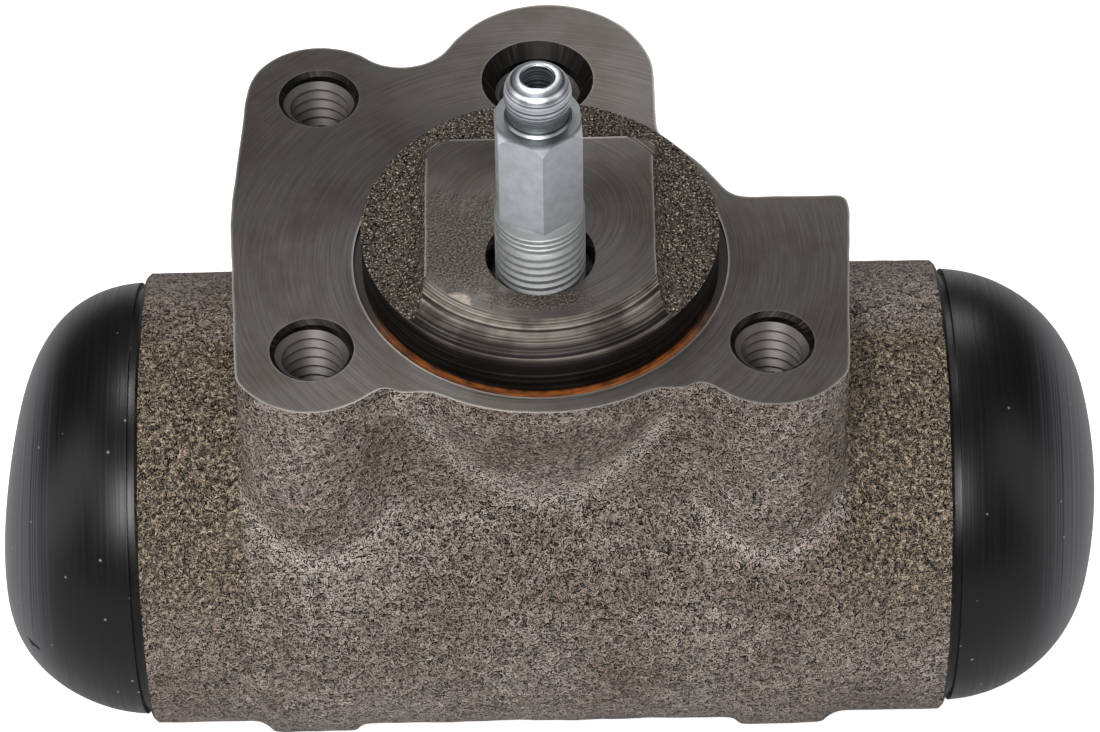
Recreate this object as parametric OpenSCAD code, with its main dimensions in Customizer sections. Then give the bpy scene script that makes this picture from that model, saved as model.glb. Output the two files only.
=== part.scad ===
// Drum brake wheel cylinder with a round pilot boss, three tapped mounting holes and rubber end boots.
// Millimetres. X runs along the barrel, Y towards the inlet port, Z out of the mounting face.
// The origin is the pilot boss axis where it meets the mounting face.

/* [Barrel] */
// length of the casting between the boot shoulders
body_len = 88.4; // [76:0.2:110]
// outside diameter of the end collars
collar_d = 50.8; // [46:0.2:60]
// rise of the middle barrel over the collars
mid_rise = 0.5; // [0.2:0.1:1.2]
// depth of the barrel axis below the mounting face
axis_depth = 38.4; // [34:0.2:46]
// bore diameter, one and three eighths of an inch
bore_d = 34.925; // [31.75:0.005:36]
// width of each cast rib on the underside
rib_w = 9.6; // [6:0.2:14]
// distance of each rib from the middle
rib_x = 26.2; // [20:0.2:28]
// how far the ribs stand out below the barrel
rib_rise = 0.6; // [0.4:0.1:1.6]
// how far the ribs stand out all round
rib_over = 0.2; // [0.1:0.1:0.6]
// chamfer at each mouth of the bore
bore_chamfer = 1.0; // [0.4:0.1:1.6]

/* [Mounting face] */
// half width of the block at the parting plane
block_half_w = 33.4; // [30:0.2:38]
// draft of the block sides in degrees
draft = 3.2; // [1:0.1:5]
// front wall of the block, measured from the boss axis
front_wall = 17.6; // [15:0.1:20]
// back edge of the right-hand ear
ear_y = 8.5; // [6:0.1:12]
// distance from that edge forward to the parting plane
parting_back = 2.5; // [0:0.1:5]
// width broken off the ear's corner
ear_break = 0.8; // [0.4:0.1:2]
// radius of the flange around the pilot boss
flange_r = 22.3; // [21.5:0.1:24]
// thickness of the full flange before it tapers
flange_t = 4.0; // [2:0.2:8]
// height over which the flange tapers back to the front wall
flange_taper_h = 14.6; // [8:0.2:18]

/* [Pilot boss] */
// pilot diameter, one and a half inches
pilot_d = 38.1; // [34:0.05:42]
// height of the turned pilot wall
pilot_wall_h = 4.6; // [3:0.1:7]
// height of the machined land over the mounting face
land_h = 6.5; // [5:0.1:10]
// half width of the machined land
land_half_w = 12.0; // [9:0.1:14]
// how far each side of the land spreads down to its foot
land_spread = 1.0; // [0.2:0.1:2]
// back edge of the machined land
land_back_y = 11.5; // [8:0.1:14]
// radius of the land at the top of the turned chamfer
land_r = 14.9; // [13:0.1:17]
// width of the undercut around the pilot
undercut_w = 1.0; // [0.8:0.1:2.5]
// depth of the undercut
undercut_depth = 0.8; // [0.4:0.1:1.5]

/* [Mounting holes] */
// thread diameter of the mounting holes, five sixteenths of an inch
bolt_d = 7.94; // [6:0.01:10]
// depth of the mounting holes
bolt_depth = 15; // [10:0.5:18]
// chamfer diameter at each mounting hole
bolt_chamfer_d = 8.9; // [8.2:0.1:12]
// distance of the mounting holes from the middle
bolt_x = 24.2; // [22:0.1:27]
// front holes, measured forward of the boss axis
bolt_front = 12.75; // [10:0.05:15]
// back hole, measured behind the boss axis
bolt_back = 24.8; // [21:0.1:28]
// radius of the front lobes
front_lobe_r = 8.9; // [7.5:0.1:10]
// radius of the back lobe
back_lobe_r = 8.1; // [7:0.1:10]

/* [Inlet port] */
// inlet thread diameter, three eighths of an inch
inlet_d = 9.525; // [8:0.005:12]
// depth of the inlet thread
inlet_depth = 11; // [8:0.5:14]
// chamfer diameter at the inlet
inlet_chamfer_d = 12.4; // [11:0.1:14]
// distance of the inlet behind the boss axis
inlet_y = 27.2; // [25:0.1:30]
// sideways shift of the inlet lobe in the casting
inlet_lobe_x = 1.0; // [0:0.1:2]
// radius of the inlet lobe
inlet_lobe_r = 12.0; // [10:0.1:13]
// diameter of the drilled fluid passages
passage_d = 3.0; // [2:0.1:4]

/* [Bleeder] */
// thread diameter of the bleeder, three eighths of an inch
bleeder_d = 9.525; // [8:0.005:11]
// distance of the bleeder in front of the boss axis
bleeder_y = 5.8; // [4:0.1:7]
// counterbore around the bleeder
bleeder_cbore_d = 11.6; // [10.5:0.1:14]
// depth of that counterbore
bleeder_cbore_depth = 3.2; // [1:0.1:5]
// depth of the bleeder thread below the mounting face
bleeder_depth = 7.0; // [5:0.1:9]
// hexagon across flats
hex_af = 8.65; // [8:0.05:12]
// height of the hexagon's lower edge over the mounting face
hex_low = 14.6; // [12:0.1:18]
// height of the hexagon's top over the mounting face
hex_top = 27.1; // [22:0.1:28]
// neck diameter of the hose nipple
neck_d = 6.4; // [5:0.1:6.6]
// bead diameter of the hose nipple
bead_d = 6.9; // [6:0.1:8.5]
// height of the nipple's top over the mounting face
nipple_top = 32.6; // [32:0.1:38]

/* [Boots] */
// outside diameter of the boots
boot_d = 48.8; // [44:0.2:52]
// how far each boot reaches past the casting
boot_len = 18.0; // [15:0.2:22]
// radius of the boot's shoulder in its profile
boot_shoulder_r = 17.0; // [12:0.2:17.4]
// rubber thickness
boot_wall = 2.4; // [1.6:0.1:3.2]
// diameter of the hole for the shoe link
boot_hole_d = 9.6; // [9:0.1:12]
// diameter of the casting snout under the boot
snout_d = 42.0; // [40:0.2:44]
// length of that snout
snout_len = 3.0; // [2:0.1:4]

/* [Pistons] */
// length of each piston's guided part
piston_len = 14; // [11:0.5:18]
// diameter of the nose that meets the shoe link
nose_d = 15; // [13:0.5:18]
// diameter of the link socket
socket_d = 8.4; // [6:0.1:8.6]
// depth of the link socket
socket_depth = 12; // [6:0.5:16]
// length of each cup
cup_len = 6.5; // [5:0.5:9]
// wire diameter of the return spring
wire_d = 1.8; // [1:0.1:2.4]
// coils of the return spring
coils = 9; // [6:1:11]

/* [Fits] */
// running clearance on the radius of pistons and bleeder
run_clear = 0.04; // [0.02:0.01:0.08]
// clearance of a seated rubber or pressed piece
seat_clear = 0.03; // [0.01:0.01:0.1]

/* [Hidden] */
$fn = 96;
eps = 0.02;
half_len = body_len / 2;
collar_r = collar_d / 2;
mid_r = collar_r + mid_rise;
bore_r = bore_d / 2;
pilot_r = pilot_d / 2;
land_foot = land_half_w + land_spread;
part_y = ear_y - parting_back;
far_y = block_half_w * 1.8;
edge_break = 0.6;
web_r = 5;
back_web_r = 6;
ear_web_r = 3;
inlet_side_x = inlet_lobe_x + inlet_lobe_r;
back_reach = inlet_y + inlet_lobe_r;
underside_z = -axis_depth * 0.47;
apron_step = 0.1;
passage_slant = 45;
passage_start = [inlet_y - 0.5, inlet_depth + 1];
// from the port's floor to half way between the bore's wall and its axis
passage_len = norm([passage_start[0], axis_depth - passage_start[1]]) - bore_r / 2;
mid_half = block_half_w - (part_y + front_wall) * tan(draft);
bleeder_clear_r = bleeder_d / 2 + run_clear;
seat_drop = bleeder_clear_r - passage_d / 2;
groove_x = 0.6;
groove_w = 1.8;
groove_depth = 0.9;
boot_r = boot_d / 2;
// the dome stands out past the shoulder by at least this much, so a short boot has a smaller shoulder
dome_rise = 0.6;
shoulder_r = min(boot_shoulder_r, boot_len - dome_rise);
boot_shoulder_c = [boot_r - shoulder_r, 0];
// dome over the shoulder, with its centre on the barrel axis, that the shoulder runs into smoothly
boot_dome_r = (pow(boot_len, 2) + pow(boot_shoulder_c[0], 2) - pow(shoulder_r, 2))
    / (2 * (boot_len - shoulder_r));
boot_dome_c = [0, boot_len - boot_dome_r];
boot_dome_in = boot_dome_r - boot_wall;
nose_end = half_len + boot_dome_c[1] + sqrt(pow(boot_dome_in, 2) - pow(nose_d / 2, 2)) - 0.2;
piston_out = half_len - 0.4;
piston_in = piston_out - piston_len;
cup_in = piston_in - cup_len;
cup_floor = 3.0;
cup_lip_r = 13.2;
expander_t = 0.7;
expander_h = 3.1;
expander_r = cup_lip_r - 0.3;
expander_floor = piston_in - cup_floor - expander_t;
spring_half = expander_floor - 0.1;
spring_r = 10.2;

// half width of the drafted block at a given y
function side_x(y) = block_half_w - abs(y - part_y) * tan(draft);

// centre of a fillet of radius f that touches the circles (a, ra) and (b, rb), on the side s
function fillet_c(a, ra, b, rb, f, s) =
    let (d = norm(b - a))
    let (u = (b - a) / d)
    let (k = ((ra + f) * (ra + f) - (rb + f) * (rb + f) + d * d) / (2 * d))
    let (h = sqrt((ra + f) * (ra + f) - k * k))
    a + u * k + [-u[1], u[0]] * h * s;

// the solid web inside a fillet, between two corner points
module web(a, b, c, f) {
    difference() {
        polygon([a, c, b]);
        translate(c) circle(r = f + eps);
    }
}

// widest outline of the drafted block
module side_limits() {
    front = side_x(-far_y);
    back = side_x(far_y);
    polygon([[-front, -far_y], [front, -far_y], [block_half_w, part_y], [back, far_y], [-back, far_y],
        [-block_half_w, part_y]]);
}

// lobes, ear and inlet neck, shared by the face and the walls under it
module pad_core() {
    for (s = [-1, 1]) {
        translate([s * bolt_x, -bolt_front]) circle(r = front_lobe_r);
    }
    translate([-bolt_x, bolt_back]) circle(r = back_lobe_r);
    translate([inlet_lobe_x, inlet_y]) circle(r = inlet_lobe_r);
    past_side = block_half_w + 1;
    polygon([[-past_side, -bolt_front], [past_side, -bolt_front], [past_side, ear_y - ear_break],
        [side_x(ear_y) - ear_break * 0.75, ear_y], [inlet_lobe_x, ear_y], [inlet_lobe_x, inlet_y],
        [-bolt_x, bolt_back], [-past_side, bolt_back]]);
    square([inlet_side_x, inlet_y]);
    web([-bolt_x, bolt_back], [inlet_lobe_x, inlet_y], fillet_c([-bolt_x, bolt_back], back_lobe_r,
        [inlet_lobe_x, inlet_y], inlet_lobe_r, back_web_r, 1), back_web_r);
}

// outline of the machined mounting face
module face_outline() {
    ear_c = [sqrt(pow(flange_r + ear_web_r, 2) - pow(ear_y + ear_web_r, 2)), ear_y + ear_web_r];
    neck_c = [inlet_side_x + ear_web_r,
        sqrt(pow(flange_r + ear_web_r, 2) - pow(inlet_side_x + ear_web_r, 2))];
    intersection() {
        side_limits();
        union() {
            pad_core();
            circle(r = flange_r);
            for (s = [-1, 1]) {
                web([0, 0], [s * bolt_x, -bolt_front], fillet_c([0, 0], flange_r, [s * bolt_x, -bolt_front],
                    front_lobe_r, web_r, -s), web_r);
            }
            web([0, 0], [ear_c[0], ear_y - ear_web_r], ear_c, ear_web_r);
            web([0, 0], [inlet_side_x - ear_web_r, neck_c[1]], neck_c, ear_web_r);
        }
    }
}

// outline of the walls below the flange
module wall_outline() {
    intersection() {
        side_limits();
        union() {
            pad_core();
            translate([-bolt_x, -front_wall]) square([2 * bolt_x, front_wall]);
            for (s = [-1, 1]) {
                web([s * bolt_x, -bolt_front], [s * lobe_web_x(), -front_wall + 2],
                    [s * lobe_web_x(), -front_wall - web_r], web_r);
            }
        }
    }
}

// where the fillet between a front lobe and the front wall has its centre
function lobe_web_x() =
    bolt_x - sqrt(pow(front_lobe_r + web_r, 2) - pow(front_wall + web_r - bolt_front, 2));

module barrel_tube(r, x0, x1) {
    translate([x0, 0, -axis_depth]) rotate([0, 90, 0]) cylinder(r = r, h = x1 - x0);
}

module barrel_taper(ra, rb, x0, x1) {
    translate([x0, 0, -axis_depth]) rotate([0, 90, 0]) cylinder(r1 = ra, r2 = rb, h = x1 - x0);
}

// collars, middle barrel, underside ribs and the snouts under the boots
module barrel() {
    barrel_tube(collar_r, -half_len + edge_break, half_len - edge_break);
    barrel_taper(collar_r - edge_break, collar_r, -half_len, -half_len + edge_break);
    barrel_taper(collar_r, collar_r - edge_break, half_len - edge_break, half_len);
    barrel_tube(mid_r, -mid_half, mid_half);
    for (s = [-1, 1]) {
        translate([s * rib_x, 0, -rib_rise]) barrel_tube(mid_r + rib_over, -rib_w / 2, rib_w / 2);
    }
    barrel_tube(snout_d / 2, -half_len - snout_len, half_len + snout_len);
}

// block between the mounting face and the barrel, with a sloped back underside
module block() {
    difference() {
        union() {
            translate([0, 0, -axis_depth]) linear_extrude(height = axis_depth - flange_t) wall_outline();
            translate([0, 0, -flange_t]) linear_extrude(height = flange_t) face_outline();
        }
        translate([-far_y, back_reach, underside_z]) rotate([45, 0, 0]) translate([0, -far_y, -far_y])
            cube([2 * far_y, 2 * far_y, far_y]);
    }
    translate([0, 0, -flange_t - flange_taper_h])
        cylinder(r1 = front_wall - apron_step, r2 = flange_r, h = flange_taper_h);
}

// turned pilot wall with the chamfered machined land on top
module pilot() {
    translate([0, 0, -2]) cylinder(r = pilot_r, h = pilot_wall_h + 2);
    intersection() {
        translate([0, 0, pilot_wall_h - 0.01])
            cylinder(r1 = pilot_r, r2 = land_r, h = land_h - pilot_wall_h + 0.01);
        translate([0, land_back_y, pilot_wall_h]) rotate([90, 0, 0])
            linear_extrude(height = land_back_y + pilot_r)
                polygon([[-land_foot, -1], [land_foot, -1], [land_foot, 0],
                    [land_half_w, land_h - pilot_wall_h], [-land_half_w, land_h - pilot_wall_h],
                    [-land_foot, 0]]);
    }
}

module undercut() {
    translate([0, 0, -undercut_depth]) difference() {
        cylinder(r = pilot_r + undercut_w, h = undercut_depth + 1);
        translate([0, 0, -1]) cylinder(r = pilot_r, h = undercut_depth + 3);
    }
}

// drilled and chamfered hole with a drill point, mouth on the mounting face
module tapped_hole(d, depth, chamfer) {
    rim = (chamfer - d) / 2;
    translate([0, 0, -depth]) cylinder(d = d, h = depth + 1);
    translate([0, 0, -depth - d * 0.25]) cylinder(d1 = d * 0.1, d2 = d, h = d * 0.25);
    translate([0, 0, -rim]) cylinder(d1 = d, d2 = chamfer + 2, h = rim + 1);
}

module bleeder_hole() {
    translate([0, -bleeder_y, land_h - bleeder_cbore_depth]) cylinder(d = bleeder_cbore_d, h = land_h);
    translate([0, -bleeder_y, -bleeder_depth]) cylinder(r = bleeder_clear_r, h = bleeder_depth + land_h);
    translate([0, -bleeder_y, -bleeder_depth - seat_drop])
        cylinder(r1 = passage_d / 2, r2 = bleeder_clear_r, h = seat_drop);
    translate([0, -bleeder_y, -axis_depth]) cylinder(d = passage_d, h = axis_depth - bleeder_depth - 1);
}

// port floor, then a slanted drilling into the bore
module inlet_passage() {
    translate([0, passage_start[0], -passage_start[1]]) rotate([-passage_slant, 0, 0])
        translate([0, 0, -passage_len]) cylinder(d = passage_d, h = passage_len);
}

module bore() {
    mouth = half_len + snout_len;
    past_r = bore_r + 2 * bore_chamfer;
    barrel_tube(bore_r, -mouth - bore_chamfer, mouth + bore_chamfer);
    barrel_taper(bore_r, past_r, mouth - bore_chamfer, mouth + bore_chamfer);
    barrel_taper(past_r, bore_r, -mouth - bore_chamfer, -mouth + bore_chamfer);
}

// grooves that the boot beads snap into
module snout_grooves() {
    for (s = [-1, 1]) {
        difference() {
            translate([s * (half_len + groove_x + groove_w / 2), 0, 0])
                barrel_tube(collar_r, -groove_w / 2, groove_w / 2);
            barrel_tube(snout_d / 2 - groove_depth, -half_len * 2, half_len * 2);
        }
    }
}

module cylinder_body() {
    color("#6e655f") difference() {
        union() {
            block();
            barrel();
            pilot();
        }
        undercut();
        for (s = [-1, 1]) {
            translate([s * bolt_x, -bolt_front, 0]) tapped_hole(bolt_d, bolt_depth, bolt_chamfer_d);
        }
        translate([-bolt_x, bolt_back, 0]) tapped_hole(bolt_d, bolt_depth, bolt_chamfer_d);
        translate([0, inlet_y, 0]) tapped_hole(inlet_d, inlet_depth, inlet_chamfer_d);
        bleeder_hole();
        inlet_passage();
        bore();
        snout_grooves();
    }
}

module bleeder_screw() {
    hex_turn = 42.3;
    hex_chamfer = 0.8;
    drilling_d = 3.3;
    bead_band = 1.2;
    bead_dome = 2.2;
    bead_low = nipple_top - bead_band - bead_dome;
    dome_mid_d = bead_d - 1.1;
    tip_r = bleeder_d / 2 - 0.36;
    tip_z = -bleeder_depth - seat_drop + 0.15;
    color("#c6ccd2") translate([0, -bleeder_y, 0]) difference() {
        union() {
            translate([0, 0, tip_z]) cylinder(r1 = passage_d / 2, r2 = tip_r, h = tip_r - passage_d / 2);
            translate([0, 0, tip_z + tip_r - passage_d / 2 - 0.1]) cylinder(r = tip_r, h = 2);
            translate([0, 0, -bleeder_depth + 0.1])
                cylinder(d = bleeder_d, h = hex_low + bleeder_depth + 0.9);
            intersection() {
                translate([0, 0, hex_low]) rotate([0, 0, hex_turn])
                    cylinder(d = hex_af / cos(30), h = hex_top - hex_low, $fn = 6);
                union() {
                    translate([0, 0, hex_low]) cylinder(r = hex_af, h = hex_top - hex_low - hex_chamfer);
                    translate([0, 0, hex_top - hex_chamfer - 0.01])
                        cylinder(r1 = hex_af / 2 + hex_chamfer + 0.1, r2 = hex_af / 2 + 0.1,
                            h = hex_chamfer + 0.01);
                }
            }
            translate([0, 0, hex_top - 1]) cylinder(d = neck_d, h = bead_low - hex_top + 1.2);
            translate([0, 0, bead_low - 0.5]) cylinder(d1 = neck_d, d2 = bead_d, h = 0.5);
            translate([0, 0, bead_low]) cylinder(d = bead_d, h = bead_band);
            translate([0, 0, bead_low + bead_band])
                cylinder(d1 = bead_d, d2 = dome_mid_d, h = bead_dome / 2);
            translate([0, 0, nipple_top - bead_dome / 2])
                cylinder(d1 = dome_mid_d, d2 = drilling_d + 0.5, h = bead_dome / 2);
        }
        translate([0, 0, nipple_top - 6]) cylinder(d = drilling_d, h = 7);
        translate([0, 0, -bleeder_depth + 2.5]) cylinder(d = 2.2, h = nipple_top + bleeder_depth - 8);
        translate([-bleeder_d, 0, -bleeder_depth + 2.6]) rotate([0, 90, 0])
            cylinder(d = 1.8, h = 2 * bleeder_d);
    }
}

// one coil spring along the barrel with a closed coil at each end
module return_spring() {
    ring = 10;
    per = 24;
    steps = coils * per;
    dead = wire_d * 1.05;
    span = 2 * spring_half - wire_d;
    live = (span - 2 * dead) / (coils - 2);
    function rise(t) = t < 1 ? t * dead
        : (t > coils - 1 ? span - (coils - t) * dead : dead + (t - 1) * live);
    function at(i, j) =
        let (t = i / per)
        let (r = spring_r + wire_d / 2 * cos(360 * j / ring))
        [r * cos(360 * t), r * sin(360 * t), rise(t) - span / 2 + wire_d / 2 * sin(360 * j / ring)];
    points = [for (i = [0:steps]) for (j = [0:ring - 1]) at(i, j)];
    sides = [for (i = [0:steps - 1]) for (j = [0:ring - 1]) let (k = (j + 1) % ring)
        for (f = [0, 1]) f == 0 ? [i * ring + j, (i + 1) * ring + j, (i + 1) * ring + k]
            : [i * ring + j, (i + 1) * ring + k, i * ring + k]];
    first = [for (j = [1:ring - 2]) [0, j, j + 1]];
    last = [for (j = [1:ring - 2]) [steps * ring, steps * ring + j + 1, steps * ring + j]];
    color("#8c9196") translate([0, 0, -axis_depth]) rotate([0, 90, 0])
        polyhedron(points = points, faces = concat(sides, first, last), convexity = 10);
}

// turns a profile drawn as (radius, distance from the middle) onto one end of the barrel
module on_end(s) {
    translate([0, 0, -axis_depth]) rotate([0, s * 90, 0]) rotate_extrude() children();
}

module expander(s) {
    color("#9a9c9c") on_end(s) difference() {
        translate([0, expander_floor + expander_t - expander_h]) square([expander_r, expander_h]);
        translate([-1, expander_floor - expander_h]) square([expander_r - expander_t + 1, expander_h]);
        translate([-1, expander_floor - 1]) square([5, expander_t + 2]);
    }
}

module left_cup_expander() {
    expander(-1);
}

module right_cup_expander() {
    expander(1);
}

module piston_cup(s) {
    color("#202224") on_end(s) difference() {
        translate([0, cup_in]) square([bore_r - seat_clear, cup_len]);
        translate([-1, cup_in - 1]) square([cup_lip_r + 1, cup_len - cup_floor + 1]);
        polygon([[cup_lip_r - 0.5, cup_in - 0.5], [bore_r - 1.2, cup_in - 0.5], [cup_lip_r, cup_in + 2]]);
    }
}

module left_piston_cup() {
    piston_cup(-1);
}

module right_piston_cup() {
    piston_cup(1);
}

module piston(s) {
    color("#b4b7b8") on_end(s) difference() {
        union() {
            translate([0, piston_in]) square([bore_r - run_clear - 0.5, piston_len]);
            translate([0, piston_in + 0.5]) square([bore_r - run_clear, piston_len - 1]);
            square_nose();
        }
        translate([-1, nose_end - socket_depth]) square([socket_d / 2 + 1, socket_depth + 1]);
        polygon([[socket_d / 2 - 0.5, nose_end - 0.6], [socket_d / 2 + 0.6, nose_end + 0.1],
            [socket_d / 2 - 0.5, nose_end + 0.1]]);
    }
}

// nose of the piston that carries the link socket
module square_nose() {
    translate([0, piston_out - 2]) square([nose_d / 2 - 0.8, nose_end - piston_out + 2]);
    translate([0, piston_out - 2]) square([nose_d / 2, nose_end - piston_out + 1.2]);
}

module left_piston() {
    piston(-1);
}

module right_piston() {
    piston(1);
}

// half profile of the boot's rounded cap, drawn in by the wall thickness
module boot_cap(wall) {
    dir = (boot_shoulder_c - boot_dome_c) / norm(boot_shoulder_c - boot_dome_c);
    intersection() {
        union() {
            translate(boot_shoulder_c) circle(r = shoulder_r - wall);
            intersection() {
                translate(boot_dome_c) circle(r = boot_dome_r - wall + 0.01);
                polygon([boot_dome_c, boot_dome_c + dir * boot_dome_r * 1.5, [0, boot_len * 2]]);
            }
        }
        square([boot_r + 1, boot_len + 1]);
    }
}

// rubber boot: a deep domed cap with a bead in the snout groove and a lipped link hole
module boot(s) {
    gap_w = 0.9;
    color("#17181a") on_end(s) translate([0, half_len]) difference() {
        union() {
            boot_cap(0);
            translate([snout_d / 2 - groove_depth + seat_clear, groove_x + 0.1]) square([3, groove_w - 0.2]);
        }
        difference() {
            union() {
                boot_cap(boot_wall);
                translate([-1, -1]) square([snout_d / 2 + seat_clear + 1, snout_len + 1.1]);
            }
            translate([snout_d / 2 - groove_depth + seat_clear, groove_x + 0.1]) square([3, groove_w - 0.2]);
            translate([snout_d / 2 + seat_clear, -1]) square([6, snout_len + 1]);
        }
        translate([-1, 0]) square([boot_hole_d / 2 + 1, boot_len + 1]);
        translate([boot_r - 0.7, -1]) square([4, gap_w + 1]);
    }
}

module left_boot() {
    boot(-1);
}

module right_boot() {
    boot(1);
}

cylinder_body();
bleeder_screw();
return_spring();
left_cup_expander();
right_cup_expander();
left_piston_cup();
right_piston_cup();
left_piston();
right_piston();
left_boot();
right_boot();
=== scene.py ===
import math

import bmesh
import bpy
from mathutils import Matrix, Vector, noise


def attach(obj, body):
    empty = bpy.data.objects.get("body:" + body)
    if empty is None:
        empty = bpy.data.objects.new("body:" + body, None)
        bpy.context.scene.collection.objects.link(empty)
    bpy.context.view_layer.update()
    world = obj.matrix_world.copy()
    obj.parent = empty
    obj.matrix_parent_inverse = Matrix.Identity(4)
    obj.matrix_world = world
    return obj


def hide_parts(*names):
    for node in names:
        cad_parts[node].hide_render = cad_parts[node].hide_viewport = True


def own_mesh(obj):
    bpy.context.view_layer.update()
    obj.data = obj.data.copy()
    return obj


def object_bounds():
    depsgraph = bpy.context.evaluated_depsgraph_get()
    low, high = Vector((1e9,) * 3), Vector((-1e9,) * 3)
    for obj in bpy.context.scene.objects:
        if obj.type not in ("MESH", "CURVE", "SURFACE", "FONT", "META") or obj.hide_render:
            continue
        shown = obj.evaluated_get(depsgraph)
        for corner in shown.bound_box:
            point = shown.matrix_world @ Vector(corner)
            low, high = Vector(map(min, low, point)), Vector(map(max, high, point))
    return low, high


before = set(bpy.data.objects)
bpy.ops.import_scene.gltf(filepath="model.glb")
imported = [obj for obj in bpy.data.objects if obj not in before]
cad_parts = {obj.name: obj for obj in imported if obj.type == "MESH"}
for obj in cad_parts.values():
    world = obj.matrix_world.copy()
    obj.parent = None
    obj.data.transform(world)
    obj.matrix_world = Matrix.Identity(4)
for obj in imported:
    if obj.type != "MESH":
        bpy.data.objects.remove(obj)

CAD_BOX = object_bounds()
MM = 0.001

# Driving sizes of the wheel cylinder in millimetres, as the solids have them.
AXIS_Z = -38.4
HALF_LEN = 44.2
COLLAR_R = 25.4
SNOUT_R = 21.0
SNOUT_LEN = 3.0
BORE_R = 17.4625
PILOT_R = 19.05
PILOT_WALL = 4.6
LAND_R = 14.9
LAND_H = 6.5
LAND_HALF_W = 12.0
LAND_SPREAD = 1.0
LAND_BACK = 11.5
UNDERCUT_R = 20.05
UNDERCUT_Z = -0.8
HOLE_R = 3.97
HOLE_PITCH = 25.4 / 18
HOLE_DEPTH = 15.0
HOLES = [(-24.2, -12.75), (24.2, -12.75), (-24.2, 24.8)]
INLET = (0.0, 27.2)
INLET_R = 4.7625
INLET_DEPTH = 11.0
BLEEDER = (0.0, -5.8)
BLEEDER_R = 4.7625
BLEEDER_PITCH = 25.4 / 24
BLEEDER_HOLE_R = 4.8025
CBORE_R = 5.8
CBORE_Z = 3.3
PASSAGE_R = 1.5
HOLE_RIM_R = 4.45
INLET_RIM = 1.44
HEX_FLATS = 8.65
HEX_TURN = math.radians(4.5)
NIPPLE_HOLE_R = 1.65

# Metal left on the raw casting, and how far the cutters reach past it, in millimetres.
SLAB_LOW = -3.6
SLAB_HIGH = -1.0
SLAB_LIFTS = (0.9, 2.2)
FACE_STOCK = 1.6
HOLE_FILL_R = 5.6
INLET_FILL_R = 7.2
BLEEDER_FILL_R = 7.0
CLEAR_Z = 30
CLEAR_R = 40
FACE_REACH = 70

# Along the barrel: local +Z becomes the row's +X.
ALONG_BARREL = Matrix.Translation((0, 0, AXIS_Z * MM)) @ Matrix.Rotation(math.pi / 2, 4, "Y")


def linear(hex_colour):
    """An sRGB hex colour as the linear RGBA that shaders take."""
    channels = [int(hex_colour[i:i + 2], 16) / 255 for i in (1, 3, 5)]
    return [c / 12.92 if c <= 0.04045 else ((c + 0.055) / 1.055) ** 2.4 for c in channels] + [1.0]


def add_node(owner, kind, settings=None, stops=(), **sockets):
    """Adds a shader node: its settings, a ramp's (position, colour) stops, each socket's value or link.

    A socket is named with _ for a space, or by its number after an i."""
    node = owner.node_tree.nodes.new(kind)
    for name, value in (settings or {}).items():
        setattr(node, name, value)
    for i, (position, colour) in enumerate(stops):
        point = node.color_ramp.elements[i] if i < 2 else node.color_ramp.elements.new(position)
        point.position = position
        point.color = linear(colour)
    for name, value in sockets.items():
        socket = node.inputs[int(name[1:]) if name[1:].isdigit() else name.replace("_", " ")]
        if isinstance(value, bpy.types.NodeSocket):
            owner.node_tree.links.new(value, socket)
        else:
            socket.default_value = value
    return node


def new_material(name):
    """A material with an empty tree, and its coordinates on the object."""
    material = bpy.data.materials.new(name)
    material.use_nodes = True
    material.node_tree.nodes.clear()
    return material, add_node(material, "ShaderNodeTexCoord").outputs["Object"]


def spans_from(m, place, centre, reach):
    """How far a point lies from a centre, counted in reaches along each axis; both are in millimetres."""
    off = add_node(m, "ShaderNodeVectorMath", {"operation": "SUBTRACT"}, i0=place,
                   i1=[c * MM for c in centre])
    off = add_node(m, "ShaderNodeVectorMath", {"operation": "MULTIPLY"}, i0=off.outputs[0],
                   i1=[1 / (r * MM) for r in reach])
    return add_node(m, "ShaderNodeVectorMath", {"operation": "LENGTH"}, i0=off.outputs[0]).outputs["Value"]


def round_pilot(m, place):
    """A point laid flat on the mounting face, and its distance from the pilot's axis."""
    flat = add_node(m, "ShaderNodeVectorMath", {"operation": "MULTIPLY"}, i0=place, i1=(1, 1, 0)).outputs[0]
    return flat, add_node(m, "ShaderNodeVectorMath", {"operation": "LENGTH"}, i0=flat).outputs["Value"]


# Finishes. Every pattern's scale is one over its real size.

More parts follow.
